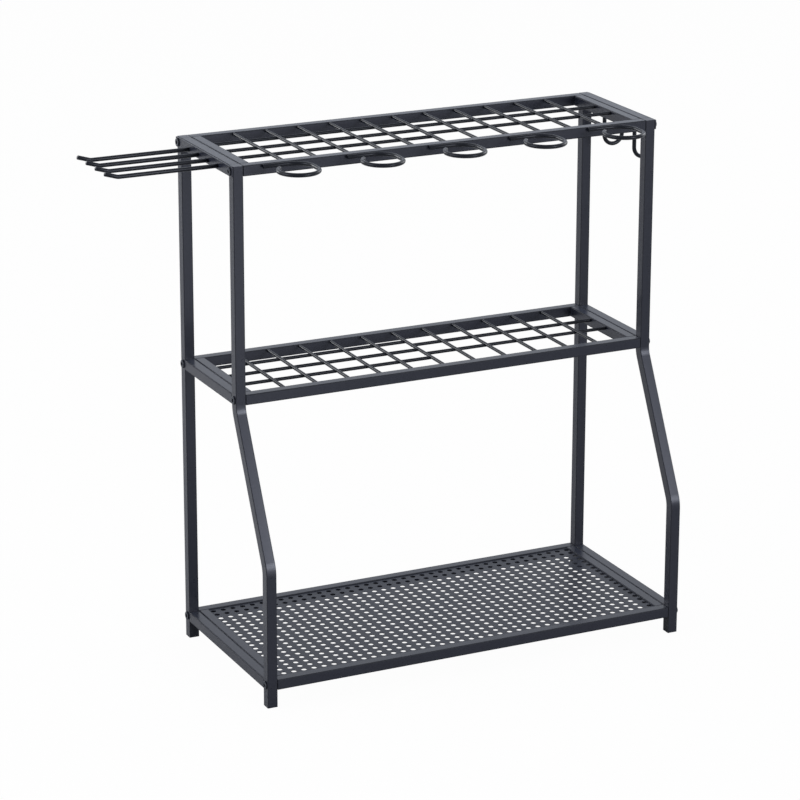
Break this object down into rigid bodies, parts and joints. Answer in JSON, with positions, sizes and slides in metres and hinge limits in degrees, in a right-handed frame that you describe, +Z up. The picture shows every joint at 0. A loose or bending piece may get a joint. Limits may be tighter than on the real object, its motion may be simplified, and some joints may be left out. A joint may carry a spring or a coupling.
{
  "type": "tool storage rack",
  "caption": "Tiered tool storage rack of square tube: wire grids above a perforated base panel, wire rings along the front and wire hooks on both ends.",
  "frame": {"origin": "on the floor under the middle of the overall box, hooks included", "axes": "+X along the rack's length towards the end with the U hooks, +Y towards the rear, +Z up"},
  "size_m": [0.8596, 0.3, 0.7498],
  "materials": {
    "tube_coat": "satin black powder coat",
    "grid_coat": "satin black powder coat",
    "panel_coat": "satin black powder coat",
    "bar_coat": "satin black powder coat",
    "wire_coat": "semi-gloss black powder coat",
    "bolt_steel": "black finished steel",
    "foot_plastic": "black moulded plastic"
  },
  "bodies": {
    "root": {"left_front_leg": "tube_coat", "left_rear_leg": "tube_coat", "left_top_cross_rail": "tube_coat", "left_middle_cross_rail": "tube_coat", "left_bottom_cross_rail": "tube_coat", "left_front_foot_plug": "foot_plastic", "left_rear_foot_plug": "foot_plastic", "left_hook_bar": "bar_coat", "right_front_leg": "tube_coat", "right_rear_leg": "tube_coat", "right_top_cross_rail": "tube_coat", "right_middle_cross_rail": "tube_coat", "right_bottom_cross_rail": "tube_coat", "right_front_foot_plug": "foot_plastic", "right_rear_foot_plug": "foot_plastic", "right_hook_bar": "bar_coat", "top_front_rail": "tube_coat", "top_rear_rail": "tube_coat", "top_left_end_rail": "tube_coat", "top_right_end_rail": "tube_coat", "bolt_top_left_front": "bolt_steel", "bolt_top_left_rear": "bolt_steel", "bolt_top_right_front": "bolt_steel", "bolt_top_right_rear": "bolt_steel", "middle_front_rail": "tube_coat", "middle_rear_rail": "tube_coat", "middle_left_end_rail": "tube_coat", "middle_right_end_rail": "tube_coat", "bolt_middle_left_front": "bolt_steel", "bolt_middle_left_rear": "bolt_steel", "bolt_middle_right_front": "bolt_steel", "bolt_middle_right_rear": "bolt_steel", "bottom_front_rail": "tube_coat", "bottom_rear_rail": "tube_coat", "bottom_left_end_rail": "tube_coat", "bottom_right_end_rail": "tube_coat", "bolt_bottom_left_front": "bolt_steel", "bolt_bottom_left_rear": "bolt_steel", "bolt_bottom_right_front": "bolt_steel", "bolt_bottom_right_rear": "bolt_steel", "top_wire_grid": "grid_coat", "middle_wire_grid": "grid_coat", "bottom_perforated_panel": "panel_coat", "straight_hook_1": "wire_coat", "straight_hook_2": "wire_coat", "straight_hook_3": "wire_coat", "straight_hook_4": "wire_coat", "tool_ring_1": "wire_coat", "tool_ring_2": "wire_coat", "tool_ring_3": "wire_coat", "tool_ring_4": "wire_coat", "tool_ring_5": "wire_coat", "u_hook_front": "wire_coat", "u_hook_rear": "wire_coat"}
  },
  "joints": []
}
